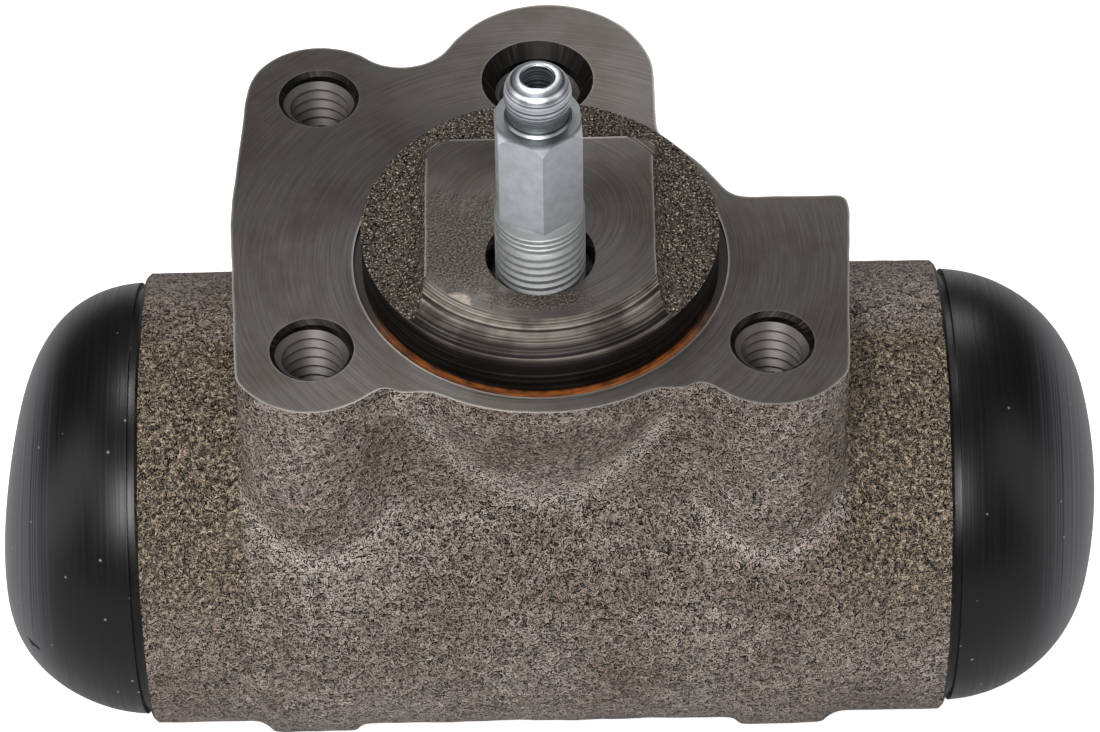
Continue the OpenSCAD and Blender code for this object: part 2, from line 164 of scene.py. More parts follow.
def sand_cast_iron():
    """Grey iron poured in sand: a dull warm grey skin, pitted by fine grains that catch small glints."""
    m, place = new_material("sand_cast_iron")
    grit = add_node(m, "ShaderNodeTexNoise", Vector=place, Scale=1 / (0.32 * MM), Detail=1.0)
    lumps = add_node(m, "ShaderNodeTexNoise", Vector=place, Scale=1 / (1.05 * MM), Detail=2.0,
                     Roughness=0.6)
    patches = add_node(m, "ShaderNodeTexNoise", Vector=place, Scale=1 / (11 * MM), Detail=3.0)
    part = add_node(m, "ShaderNodeMath", {"operation": "MULTIPLY"}, i0=lumps.outputs["Fac"], i1=0.5)
    tone = add_node(m, "ShaderNodeMath", {"operation": "MULTIPLY_ADD"}, i0=grit.outputs["Fac"], i1=0.5,
                    i2=part.outputs[0])
    # Partly the grain's own tone, partly painted shade: the colour follows the same noise as the bumps, so
    # the pits are painted darker than the raised grains.
    grey = add_node(m, "ShaderNodeValToRGB", Fac=tone.outputs[0],
                    stops=[(0.37, "#564c45"), (0.47, "#81756d"), (0.56, "#8f827a"), (0.65, "#aca097")])
    stain = add_node(m, "ShaderNodeValToRGB", Fac=patches.outputs["Fac"],
                     stops=[(0.36, "#c4b5a6"), (0.62, "#ffffff")])
    skin = add_node(m, "ShaderNodeMix", {"data_type": "RGBA", "blend_type": "MULTIPLY"}, i0=0.6,
                    i6=grey.outputs[0], i7=stain.outputs[0])
    # Painted highlight: where the walls run out into the barrel, the skin is painted paler.
    ledge_highlight = add_node(m, "ShaderNodeAttribute", {"attribute_name": "ledge_highlight"})
    pale = add_node(m, "ShaderNodeMath", {"operation": "MULTIPLY"}, i0=ledge_highlight.outputs["Fac"], i1=0.55)
    skin = add_node(m, "ShaderNodeMix", {"data_type": "RGBA"}, i0=pale.outputs[0], i6=skin.outputs[2],
                    i7=linear("#b5aaa3"))
    # The front of the end collars, below the parting line, is browner and coarser.
    at = add_node(m, "ShaderNodeSeparateXYZ", Vector=place)
    far = add_node(m, "ShaderNodeMath", {"operation": "ABSOLUTE"}, i0=at.outputs["X"])
    collar = add_node(m, "ShaderNodeMapRange", {"interpolation_type": "SMOOTHSTEP"}, Value=far.outputs[0],
                      From_Min=31.6 * MM, From_Max=33.4 * MM)
    front = add_node(m, "ShaderNodeMapRange", {"interpolation_type": "SMOOTHSTEP"}, Value=at.outputs["Y"],
                     From_Min=1.2 * MM, From_Max=-0.6 * MM)
    high = add_node(m, "ShaderNodeMapRange", {"interpolation_type": "SMOOTHSTEP"}, Value=at.outputs["Z"],
                    From_Min=-40 * MM, From_Max=-24 * MM)
    brown = add_node(m, "ShaderNodeMath", {"operation": "MULTIPLY"}, i0=collar.outputs[0],
                     i1=front.outputs[0])
    brown = add_node(m, "ShaderNodeMath", {"operation": "MULTIPLY"}, i0=brown.outputs[0],
                     i1=high.outputs[0])
    round_axis = add_node(m, "ShaderNodeVectorMath", {"operation": "MULTIPLY"}, i0=place, i1=(0, 1, 1))
    round_axis = add_node(m, "ShaderNodeVectorMath", {"operation": "DISTANCE"}, i0=round_axis.outputs[0],
                          i1=(0, 0, AXIS_Z * MM))
    barrel = add_node(m, "ShaderNodeMapRange", {"interpolation_type": "SMOOTHSTEP"},
                      Value=round_axis.outputs["Value"], From_Min=(COLLAR_R + 1.4) * MM,
                      From_Max=(COLLAR_R + 0.6) * MM)
    brown = add_node(m, "ShaderNodeMath", {"operation": "MULTIPLY"}, i0=brown.outputs[0],
                     i1=barrel.outputs[0])
    sand = add_node(m, "ShaderNodeTexNoise", Vector=place, Scale=1 / (0.5 * MM), Detail=2.0, Roughness=0.6)
    gold = add_node(m, "ShaderNodeValToRGB", Fac=sand.outputs["Fac"],
                    stops=[(0.36, "#3f352a"), (0.46, "#625546"), (0.54, "#716351"), (0.66, "#9a8a74")])
    skin = add_node(m, "ShaderNodeMix", {"data_type": "RGBA"}, i0=brown.outputs[0], i6=skin.outputs[2],
                    i7=gold.outputs[0])
    # The unturned top of the pilot boss keeps its dark, burnt sand skin, with bare grains whose glints are
    # painted bright.
    boss = add_node(m, "ShaderNodeMapRange", {"interpolation_type": "SMOOTHSTEP"}, Value=at.outputs["Z"],
                    From_Min=1.0 * MM, From_Max=2.0 * MM)
    grains = add_node(m, "ShaderNodeTexNoise", Vector=place, Scale=1 / (0.24 * MM), Detail=1.0)
    burnt = add_node(m, "ShaderNodeValToRGB", Fac=grains.outputs["Fac"],
                     stops=[(0.36, "#2a241f"), (0.5, "#4a4037"), (0.6, "#5f5347"), (0.68, "#b0a08a")])
    skin = add_node(m, "ShaderNodeMix", {"data_type": "RGBA"}, i0=boss.outputs[0], i6=skin.outputs[2],
                    i7=burnt.outputs[0])
    fine = add_node(m, "ShaderNodeBump", Height=grit.outputs["Fac"], Strength=1.0, Distance=1.8 * MM)
    coarse = add_node(m, "ShaderNodeBump", Height=lumps.outputs["Fac"], Strength=1.0, Distance=1.6 * MM,
                      Normal=fine.outputs["Normal"])
    shader = add_node(m, "ShaderNodeBsdfPrincipled", Base_Color=skin.outputs[2], Metallic=0.1,
                      Roughness=0.55, Normal=coarse.outputs["Normal"])
    add_node(m, "ShaderNodeOutputMaterial", Surface=shader.outputs[0])
    return m


def faced_iron():
    """Iron faced on a lathe: dark satin grey, fine rings that fan the light, and a painted highlight along
    the sharp edges.
    """
    m, place = new_material("faced_iron")
    flat, away = round_pilot(m, place)
    drift = add_node(m, "ShaderNodeVectorMath", {"operation": "SCALE"}, i0=place, Scale=0.03)
    ring = add_node(m, "ShaderNodeCombineXYZ", X=away)
    ring = add_node(m, "ShaderNodeVectorMath", {"operation": "ADD"}, i0=ring.outputs[0],
                    i1=drift.outputs[0])
    rings = add_node(m, "ShaderNodeTexNoise", Vector=ring.outputs[0], Scale=1 / (0.22 * MM), Detail=2.0,
                     Roughness=0.6)
    stains = add_node(m, "ShaderNodeTexNoise", Vector=place, Scale=1 / (9 * MM), Detail=4.0, Roughness=0.6)
    specks = add_node(m, "ShaderNodeTexNoise", Vector=place, Scale=1 / (0.26 * MM), Detail=2.0)
    tone = add_node(m, "ShaderNodeValToRGB", Fac=rings.outputs["Fac"],
                    stops=[(0.3, "#494643"), (0.5, "#53504d"), (0.7, "#5e5a56")])
    tint = add_node(m, "ShaderNodeValToRGB", Fac=stains.outputs["Fac"],
                    stops=[(0.38, "#d9cabb"), (0.55, "#ffffff")])
    skin = add_node(m, "ShaderNodeMix", {"data_type": "RGBA", "blend_type": "MULTIPLY"}, i0=0.6,
                    i6=tone.outputs[0], i7=tint.outputs[0])
    # On the boss land the tool missed low patches of cast skin, beside the bleeder and before it.
    beside = spans_from(m, place, (-8.2, -4.8, LAND_H), (5.0, 6.0, 1.0))
    before = spans_from(m, place, (0.4, -12.2, LAND_H), (5.0, 1.3, 1.0))
    off = add_node(m, "ShaderNodeMath", {"operation": "MINIMUM"}, i0=beside, i1=before)
    edge = add_node(m, "ShaderNodeTexNoise", Vector=place, Scale=1 / (2.2 * MM), Detail=4.0, Roughness=0.7)
    edge = add_node(m, "ShaderNodeMath", {"operation": "MULTIPLY_ADD"}, i0=edge.outputs["Fac"], i1=1.6,
                    i2=-0.8)
    off = add_node(m, "ShaderNodeMath", {"operation": "ADD"}, i0=off.outputs[0], i1=edge.outputs[0])
    missed = add_node(m, "ShaderNodeMapRange", Value=off.outputs[0], From_Min=1.4, From_Max=0.6)
    burnt = add_node(m, "ShaderNodeValToRGB", Fac=specks.outputs["Fac"],
                     stops=[(0.40, "#24201c"), (0.5, "#3d3731"), (0.64, "#685d51")])
    skin = add_node(m, "ShaderNodeMix", {"data_type": "RGBA"}, i0=missed.outputs[0], i6=skin.outputs[2],
                    i7=burnt.outputs[0])
    # A high spot at the land's front was rubbed to bare bright metal.
    spot = spans_from(m, place, (-8.6, -12.4, LAND_H), (1.5, 1.5, 1.0))
    spot = add_node(m, "ShaderNodeMath", {"operation": "ADD"}, i0=spot, i1=edge.outputs[0])
    bare = add_node(m, "ShaderNodeMapRange", Value=spot.outputs[0], From_Min=1.1, From_Max=0.7)
    skin = add_node(m, "ShaderNodeMix", {"data_type": "RGBA"}, i0=bare.outputs[0], i6=skin.outputs[2],
                    i7=linear("#8d8578"))
    # Painted highlight: sharp edges are painted bright, apart from the oily rim round the bleeder.
    inside = add_node(m, "ShaderNodeAmbientOcclusion", {"samples": 6, "inside": True, "only_local": True},
                      Distance=0.35 * MM)
    sharp_edge_highlight = add_node(m, "ShaderNodeMapRange", Value=inside.outputs["AO"], From_Min=0.9, From_Max=0.6)
    rim = add_node(m, "ShaderNodeVectorMath", {"operation": "DISTANCE"}, i0=flat,
                   i1=(0, BLEEDER[1] * MM, 0))
    rim = add_node(m, "ShaderNodeMapRange", Value=rim.outputs["Value"], From_Min=6.2 * MM,
                   From_Max=6.8 * MM)
    sharp_edge_highlight = add_node(m, "ShaderNodeMath", {"operation": "MULTIPLY"}, i0=sharp_edge_highlight.outputs[0],
                      i1=rim.outputs[0])
    skin = add_node(m, "ShaderNodeMix", {"data_type": "RGBA"}, i0=sharp_edge_highlight.outputs[0], i6=skin.outputs[2],
                    i7=linear("#a09a94"))
    metal = add_node(m, "ShaderNodeMapRange", Value=missed.outputs[0], To_Min=0.7, To_Max=0.2)
    gloss = add_node(m, "ShaderNodeMapRange", Value=specks.outputs["Fac"], To_Min=0.36, To_Max=0.52)
    pits = add_node(m, "ShaderNodeMath", {"operation": "MULTIPLY"}, i0=specks.outputs["Fac"],
                    i1=missed.outputs[0])
    bump = add_node(m, "ShaderNodeBump", Height=rings.outputs["Fac"], Strength=0.4, Distance=0.03 * MM)
    bump = add_node(m, "ShaderNodeBump", Height=pits.outputs[0], Strength=1.0, Distance=0.25 * MM,
                    Normal=bump.outputs["Normal"])
    around = add_node(m, "ShaderNodeTangent", {"direction_type": "RADIAL", "axis": "Z"})
    shader = add_node(m, "ShaderNodeBsdfPrincipled", Base_Color=skin.outputs[2],
                      Metallic=metal.outputs[0], Roughness=gloss.outputs[0], Anisotropic=0.75,
                      Anisotropic_Rotation=0.25, Tangent=around.outputs[0], Normal=bump.outputs["Normal"])
    add_node(m, "ShaderNodeOutputMaterial", Surface=shader.outputs[0])
    return m


def turned_iron():
    """The pilot's wall and chamfer: black oily iron, bright tool lines on the slope, rust at the foot."""
    m, place = new_material("turned_iron")
    at = add_node(m, "ShaderNodeSeparateXYZ", Vector=place)
    _, away = round_pilot(m, place)
    along = add_node(m, "ShaderNodeMath", {"operation": "SUBTRACT"}, i0=away, i1=at.outputs["Z"])
    along = add_node(m, "ShaderNodeCombineXYZ", X=along.outputs[0])
    drift = add_node(m, "ShaderNodeVectorMath", {"operation": "SCALE"}, i0=place, Scale=0.02)
    along = add_node(m, "ShaderNodeVectorMath", {"operation": "ADD"}, i0=along.outputs[0],
                     i1=drift.outputs[0])
    lines = add_node(m, "ShaderNodeTexNoise", Vector=along.outputs[0], Scale=1 / (0.3 * MM), Detail=3.0,
                     Roughness=0.7)
    patches = add_node(m, "ShaderNodeTexNoise", Vector=place, Scale=1 / (5 * MM), Detail=3.0)
    tone = add_node(m, "ShaderNodeValToRGB", Fac=lines.outputs["Fac"],
                    stops=[(0.36, "#131110"), (0.46, "#2b2825"), (0.54, "#3f3b37"), (0.64, "#746e67")])
    worn = add_node(m, "ShaderNodeValToRGB", Fac=patches.outputs["Fac"],
                    stops=[(0.4, "#8d8277"), (0.6, "#ffffff")])
    skin = add_node(m, "ShaderNodeMix", {"data_type": "RGBA", "blend_type": "MULTIPLY"}, i0=0.7,
                    i6=tone.outputs[0], i7=worn.outputs[0])
    slope = add_node(m, "ShaderNodeMapRange", {"interpolation_type": "SMOOTHSTEP"}, Value=at.outputs["Z"],
                     From_Min=5.0 * MM, From_Max=3.6 * MM)
    skin = add_node(m, "ShaderNodeMix", {"data_type": "RGBA", "blend_type": "MULTIPLY"},
                    i0=slope.outputs[0], i6=skin.outputs[2], i7=linear("#8e8983"))
    # Near its top the chamfer is bare and bright between the tool lines, in some places more.
    crest = add_node(m, "ShaderNodeMapRange", {"interpolation_type": "SMOOTHSTEP"}, Value=at.outputs["Z"],
                     From_Min=5.0 * MM, From_Max=5.7 * MM)
    spread = add_node(m, "ShaderNodeMapRange", Value=patches.outputs["Fac"], From_Min=0.38, From_Max=0.55,
                      To_Min=0.25)
    crest = add_node(m, "ShaderNodeMath", {"operation": "MULTIPLY"}, i0=crest.outputs[0],
                     i1=spread.outputs[0])
    shine = add_node(m, "ShaderNodeValToRGB", Fac=lines.outputs["Fac"],
                     stops=[(0.42, "#262320"), (0.47, "#605b55"), (0.56, "#7b756d"), (0.66, "#a7a198")])
    skin = add_node(m, "ShaderNodeMix", {"data_type": "RGBA"}, i0=crest.outputs[0], i6=skin.outputs[2],
                    i7=shine.outputs[0])
    # Flash rust sits at the foot of the pilot wall, on the side away from the inlet.
    foot = add_node(m, "ShaderNodeMapRange", {"interpolation_type": "SMOOTHSTEP"}, Value=at.outputs["Z"],
                    From_Min=0.1 * MM, From_Max=-0.4 * MM)
    front = add_node(m, "ShaderNodeMapRange", {"interpolation_type": "SMOOTHSTEP"}, Value=at.outputs["Y"],
                     From_Min=-4 * MM, From_Max=-13 * MM)
    pilot = add_node(m, "ShaderNodeMath", {"operation": "COMPARE"}, i0=away, i1=PILOT_R * MM,
                     i2=0.1 * MM)
    rust = add_node(m, "ShaderNodeMath", {"operation": "MULTIPLY"}, i0=foot.outputs[0], i1=front.outputs[0])
    rust = add_node(m, "ShaderNodeMath", {"operation": "MULTIPLY"}, i0=rust.outputs[0], i1=pilot.outputs[0])
    blotches = add_node(m, "ShaderNodeTexNoise", Vector=place, Scale=1 / (1.5 * MM), Detail=3.0)
    orange = add_node(m, "ShaderNodeValToRGB", Fac=blotches.outputs["Fac"],
                      stops=[(0.35, "#4a2a14"), (0.6, "#8a4d1f")])
    skin = add_node(m, "ShaderNodeMix", {"data_type": "RGBA"}, i0=rust.outputs[0], i6=skin.outputs[2],
                    i7=orange.outputs[0])
    metal = add_node(m, "ShaderNodeMapRange", Value=rust.outputs[0], To_Min=0.75, To_Max=0.0)
    bump = add_node(m, "ShaderNodeBump", Height=lines.outputs["Fac"], Strength=0.6, Distance=0.08 * MM)
    shader = add_node(m, "ShaderNodeBsdfPrincipled", Base_Color=skin.outputs[2], Metallic=metal.outputs[0],
                      Roughness=0.5, Normal=bump.outputs["Normal"])
    add_node(m, "ShaderNodeOutputMaterial", Surface=shader.outputs[0])
    return m


def rusted_iron():
    """The undercut: dark oily iron, with matt orange-brown flash rust on the side away from the inlet."""
    m, place = new_material("rusted_iron")
    at = add_node(m, "ShaderNodeSeparateXYZ", Vector=place)
    front = add_node(m, "ShaderNodeMapRange", {"interpolation_type": "SMOOTHSTEP"}, Value=at.outputs["Y"],
                     From_Min=-6 * MM, From_Max=-15 * MM)
    spread = add_node(m, "ShaderNodeTexNoise", Vector=place, Scale=1 / (2.2 * MM), Detail=3.0)
    orange = add_node(m, "ShaderNodeValToRGB", Fac=spread.outputs["Fac"],
                      stops=[(0.35, "#4a2c17"), (0.5, "#77431c"), (0.65, "#9a5a26")])
    _, away = round_pilot(m, place)
    line = add_node(m, "ShaderNodeMapRange", {"interpolation_type": "SMOOTHSTEP"}, Value=away,
                    From_Min=(PILOT_R + 0.95) * MM, From_Max=(PILOT_R + 0.65) * MM)
    rust = add_node(m, "ShaderNodeMath", {"operation": "MULTIPLY"}, i0=line.outputs[0], i1=front.outputs[0])
    skin = add_node(m, "ShaderNodeMix", {"data_type": "RGBA"}, i0=rust.outputs[0], i6=linear("#262220"),
                    i7=orange.outputs[0])
    shader = add_node(m, "ShaderNodeBsdfPrincipled", Base_Color=skin.outputs[2], Roughness=0.75)
    add_node(m, "ShaderNodeOutputMaterial", Surface=shader.outputs[0])
    return m


def zinc_plate():
    """Steel with zinc plate: a pale, slightly blue metal, clouded by the turned steel under it."""
    m, place = new_material("zinc_plate")
    cloud = add_node(m, "ShaderNodeTexNoise", Vector=place, Scale=1 / (1.2 * MM), Detail=4.0, Roughness=0.6)
    scuff = add_node(m, "ShaderNodeTexNoise", Vector=place, Scale=1 / (0.3 * MM), Detail=2.0)
    tone = add_node(m, "ShaderNodeValToRGB", Fac=cloud.outputs["Fac"],
                    stops=[(0.35, "#d4d8dc"), (0.6, "#e2e6ea")])
    # The plate is thin and dull on the thread, below the hexagon.
    at = add_node(m, "ShaderNodeSeparateXYZ", Vector=place)
    dull = add_node(m, "ShaderNodeMapRange", Value=at.outputs["Z"], From_Min=15.0 * MM, From_Max=14.2 * MM)
    tone = add_node(m, "ShaderNodeMix", {"data_type": "RGBA", "blend_type": "MULTIPLY"}, i0=dull.outputs[0],
                    i6=tone.outputs[0], i7=linear("#cac8c5"))
    # Above the hexagon the shoulder and neck are grey and dull, and the bead keeps its turning lines.
    height = add_node(m, "ShaderNodeCombineXYZ", X=at.outputs["Z"])
    turning = add_node(m, "ShaderNodeTexNoise", Vector=height.outputs[0], Scale=1 / (0.3 * MM), Detail=2.0)
    lines = add_node(m, "ShaderNodeValToRGB", Fac=turning.outputs["Fac"],
                     stops=[(0.4, "#7f8284"), (0.56, "#ffffff")])
    bead = add_node(m, "ShaderNodeMapRange", Value=at.outputs["Z"], From_Min=26.6 * MM, From_Max=27.0 * MM)
    tone = add_node(m, "ShaderNodeMix", {"data_type": "RGBA", "blend_type": "MULTIPLY"}, i0=bead.outputs[0],
                    i6=tone.outputs[2], i7=lines.outputs[0])
    neck = add_node(m, "ShaderNodeMapRange", Value=at.outputs["Z"], From_Min=29.4 * MM, From_Max=28.8 * MM)
    neck = add_node(m, "ShaderNodeMath", {"operation": "MULTIPLY"}, i0=neck.outputs[0], i1=bead.outputs[0])
    tone = add_node(m, "ShaderNodeMix", {"data_type": "RGBA", "blend_type": "MULTIPLY"}, i0=neck.outputs[0],
                    i6=tone.outputs[2], i7=linear("#aeb0ad"))
    gloss = add_node(m, "ShaderNodeMapRange", Value=scuff.outputs["Fac"], To_Min=0.34, To_Max=0.48)
    gloss = add_node(m, "ShaderNodeMath", {"operation": "MULTIPLY_ADD"}, i0=dull.outputs[0], i1=0.16,
                     i2=gloss.outputs[0])
    bump = add_node(m, "ShaderNodeBump", Height=scuff.outputs["Fac"], Strength=0.25, Distance=0.04 * MM)
    shader = add_node(m, "ShaderNodeBsdfPrincipled", Base_Color=tone.outputs[2], Metallic=1.0,
                      Roughness=gloss.outputs[0], Normal=bump.outputs["Normal"])
    add_node(m, "ShaderNodeOutputMaterial", Surface=shader.outputs[0])
    return m


def boot_rubber():
    """Moulded EPDM: black and semi-gloss, with fine rings from the turned mould and grey dust specks."""
    m, place = new_material("moulded_epdm_rubber")
    # The distance from the mouth over the cap, which bends with it.
    over = add_node(m, "ShaderNodeAttribute", {"attribute_name": "from_mouth"})
    along = add_node(m, "ShaderNodeCombineXYZ", X=over.outputs["Fac"])
    rings = add_node(m, "ShaderNodeTexNoise", Vector=along.outputs[0], Scale=1 / (0.6 * MM), Detail=3.0,
                     Roughness=0.65)
    dust = add_node(m, "ShaderNodeTexVoronoi", Vector=place, Scale=1 / (2.6 * MM))
    tone = add_node(m, "ShaderNodeValToRGB", Fac=dust.outputs["Distance"],
                    stops=[(0.0, "#84868a"), (0.055, "#55575a"), (0.08, "#09090a")])
    # Partly a grey bloom, partly painted sheen: the rounded end is painted grey in streaks that follow the
    # rings.
    end = add_node(m, "ShaderNodeMapRange", {"interpolation_type": "SMOOTHSTEP"}, Value=over.outputs["Fac"],
                   From_Min=10 * MM, From_Max=24 * MM)
    ring_streaks = add_node(m, "ShaderNodeMapRange", Value=rings.outputs["Fac"], From_Min=0.4, From_Max=0.66,
                      To_Min=0.15)
    bloom_and_sheen = add_node(m, "ShaderNodeMath", {"operation": "MULTIPLY"}, i0=end.outputs[0],
                     i1=ring_streaks.outputs[0])
    tone = add_node(m, "ShaderNodeMix", {"data_type": "RGBA"}, i0=bloom_and_sheen.outputs[0], i6=tone.outputs[0],
                    i7=linear("#5e5e64"))
    gloss = add_node(m, "ShaderNodeMapRange", Value=rings.outputs["Fac"], From_Min=0.3, From_Max=0.7,
                     To_Min=0.27, To_Max=0.42)
    bump = add_node(m, "ShaderNodeBump", Height=rings.outputs["Fac"], Strength=0.5, Distance=0.04 * MM)
    shader = add_node(m, "ShaderNodeBsdfPrincipled", Base_Color=tone.outputs[2], Roughness=gloss.outputs[0],
                      IOR=1.5, Specular_IOR_Level=0.31, Normal=bump.outputs["Normal"])
    add_node(m, "ShaderNodeOutputMaterial", Surface=shader.outputs[0])
    return m


def plain(name, colour, metallic, roughness):
    """A finish with one colour, for the pieces inside the bore."""
    m, _ = new_material(name)
    shader = add_node(m, "ShaderNodeBsdfPrincipled", Base_Color=linear(colour), Metallic=metallic,
                      Roughness=roughness)
    add_node(m, "ShaderNodeOutputMaterial", Surface=shader.outputs[0])
    return m


CAST = sand_cast_iron()
FACED = faced_iron()
TURNED = turned_iron()
RUST = rusted_iron()
ZINC = zinc_plate()
RUBBER = boot_rubber()
# Turned aluminium pistons: pale satin metal.
PISTON = plain("turned_aluminium", "#b9bbbb", 1.0, 0.4)
# Tapped threads: freshly cut iron, brighter than the faces round it.
THREAD = plain("tapped_iron", "#5a5653", 0.6, 0.42)
# Moulded cups: matt black rubber, wet with assembly grease.
CUP = plain("moulded_cup_rubber", "#1c1d1f", 0.0, 0.5)
# Oiled spring wire: dark grey drawn steel.
SPRING = plain("oiled_spring_wire", "#6d7276", 1.0, 0.35)
IRON_FINISHES = [CAST, FACED, TURNED, RUST]


# Meshes.

SHARP_ANGLE = math.radians(34)
HEXAGON_SHARP_ANGLE = math.radians(14)


def shade(bm, sharp_angle=SHARP_ANGLE):
    """Makes the faces smooth, and the edges that turn by the angle or more sharp."""
    for face in bm.faces:
        face.smooth = True
    for edge in bm.edges:
        if len(edge.link_faces) == 2:
            edge.smooth = edge.calc_face_angle(0.0) < sharp_angle


def to_object(bm, name, materials):
    """Turns a bmesh into an object at the origin, with smooth faces and sharp edges kept."""
    shade(bm)
    mesh = bpy.data.meshes.new(name)
    bm.to_mesh(mesh)
    bm.free()
    for material in materials:
        mesh.materials.append(material)
    obj = bpy.data.objects.new(name, mesh)
    bpy.context.scene.collection.objects.link(obj)
    return obj


def arc(centre_r, centre_z, radius, start, end, steps):
    """Profile points on an arc, from start to end degrees, measured from the radius direction."""
    angles = [math.radians(start + (end - start) * i / steps) for i in range(steps + 1)]
    return [(centre_r + radius * math.cos(a), centre_z + radius * math.sin(a)) for a in angles]


def spun(bm, profile, place=Matrix(), steps=128):
    """Spins a closed (radius, height) profile in millimetres round Z, in place. Returns its faces."""
    old_verts = set(bm.verts)
    old_faces = set(bm.faces)
    verts = [bm.verts.new((r * MM, 0, z * MM)) for r, z in profile]
    edges = [bm.edges.new((a, b)) for a, b in zip(verts, verts[1:] + verts[:1])]
    bmesh.ops.spin(bm, geom=verts + edges, cent=(0, 0, 0), axis=(0, 0, 1), dvec=(0, 0, 0),
                   angle=2 * math.pi, steps=steps, use_merge=True, use_duplicate=False)
    bmesh.ops.remove_doubles(bm, verts=[v for v in bm.verts if v not in old_verts], dist=1e-6)
    faces = [f for f in bm.faces if f not in old_faces]
    bmesh.ops.recalc_face_normals(bm, faces=faces)
    bmesh.ops.transform(bm, matrix=place, verts=[v for v in bm.verts if v not in old_verts])
    return faces


def shift(x, y, z=0.0):
    """A move given in millimetres."""
    return Matrix.Translation((x * MM, y * MM, z * MM))


def cut(obj, cutter, operation="DIFFERENCE"):
    """Cuts obj with a closed cutter and keeps the cutter's materials on the new faces."""
    modifier = obj.modifiers.new("cut", "BOOLEAN")
    modifier.operation = operation
    modifier.solver = "MANIFOLD"
    modifier.object = cutter
    graph = bpy.context.evaluated_depsgraph_get()
    mesh = bpy.data.meshes.new_from_object(obj.evaluated_get(graph), preserve_all_data_layers=True,
                                           depsgraph=graph)
    obj.modifiers.remove(modifier)
    old = obj.data
    obj.data = mesh
    bpy.data.meshes.remove(old)
    bpy.data.objects.remove(cutter)


def cast_stock():
    """The body as it leaves the sand: every hole filled, and metal left on where a tool will cut."""
    bm = bmesh.new()
    bm.from_mesh(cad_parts["cylinder_body"].data)
    bmesh.ops.remove_doubles(bm, verts=bm.verts[:], dist=1e-6)
    # A slice of the upright walls under the face, moved up, leaves stock on the mounting face.
    slab = bm.copy()
    for level, normal in ((SLAB_LOW, (0, 0, -1)), (SLAB_HIGH, (0, 0, 1))):
        geom = slab.verts[:] + slab.edges[:] + slab.faces[:]
        done = bmesh.ops.bisect_plane(slab, geom=geom, plane_co=(0, 0, level * MM), plane_no=normal,
                                      clear_outer=True)
        rim = [e for e in done["geom_cut"] if isinstance(e, bmesh.types.BMEdge)]
        bmesh.ops.triangle_fill(slab, edges=rim, use_beauty=True)
    bmesh.ops.recalc_face_normals(slab, faces=slab.faces[:])
    mesh = bpy.data.meshes.new("slab")
    for lift in SLAB_LIFTS:
        bmesh.ops.translate(slab, verts=slab.verts[:], vec=(0, 0, lift * MM))
        slab.to_mesh(mesh)
        bm.from_mesh(mesh)
    bpy.data.meshes.remove(mesh)
    slab.free()
    rough_z = PILOT_WALL - 0.1
    spun(bm, [(0, -6), (PILOT_R + 2.6, -6), (PILOT_R + 2.6, rough_z), (0, rough_z)])
    land = bmesh.ops.create_cube(bm, size=1.0)["verts"]
    for vert in land:
        half = LAND_HALF_W + (0 if vert.co.z > 0 else LAND_SPREAD * (LAND_H + 4) / (LAND_H - PILOT_WALL))
        vert.co = Vector((2 * half * vert.co.x, LAND_BACK if vert.co.y > 0 else -PILOT_R,
                          LAND_H if vert.co.z > 0 else -4)) * MM
    cap = bmesh.ops.create_cube(bm, size=1.0)["verts"]
    for vert in cap:
        vert.co = Vector((2 * LAND_HALF_W * vert.co.x, LAND_BACK if vert.co.y > 0 else -PILOT_R,
                          LAND_H + (2.5 if vert.co.z > 0 else -0.5))) * MM
    for x, y in HOLES:
        spun(bm, [(0, -20), (HOLE_FILL_R, -20), (HOLE_FILL_R, FACE_STOCK), (0, FACE_STOCK)],
             shift(x, y), 48)
    spun(bm, [(0, -15), (INLET_FILL_R, -15), (INLET_FILL_R, FACE_STOCK), (0, FACE_STOCK)],
         shift(*INLET), 48)
    spun(bm, [(0, -16), (BLEEDER_FILL_R, -16), (BLEEDER_FILL_R, LAND_H - 1), (0, LAND_H - 1)],
         shift(*BLEEDER), 48)
    end = HALF_LEN + SNOUT_LEN + 1.2
    spun(bm, [(0, -end), (COLLAR_R, -end), (COLLAR_R, end), (0, end)], ALONG_BARREL, 160)
    return to_object(bm, "cast_stock", [])


# The casting's skin in millimetres: where the lobes and the apron meet the barrel (the painted highlight's
# place), the ribs, the flash line of the mould along the collars, and the (height, span) of the skin's
# waves.
MID_R = 25.9
LOBE_R = 8.9
FRONT_WALL = 17.6
APRON_LOW = -18.6
APRON_SLOPE = (22.3 - 17.6) / 14.6
RIB_X = 26.2
RIB_HALF_W = 4.4
RIB_SWELL = 0.3
RIB_EDGE = 0.5
RIB_RISE = 9
LEDGE_HIGHLIGHT_FRONT_Y = -5
LEDGE_HIGHLIGHT_SPREAD = 0.9
FLASH_FROM_X = 34
FLASH_Y = 0.7
FLASH_H = 0.16
FLASH_HALF_W = 0.45
SKIN_WAVES = ((0.10, 7.0), (0.07, 2.6))
VOXEL = 0.5 * MM
SOFTEN_STEPS = 6


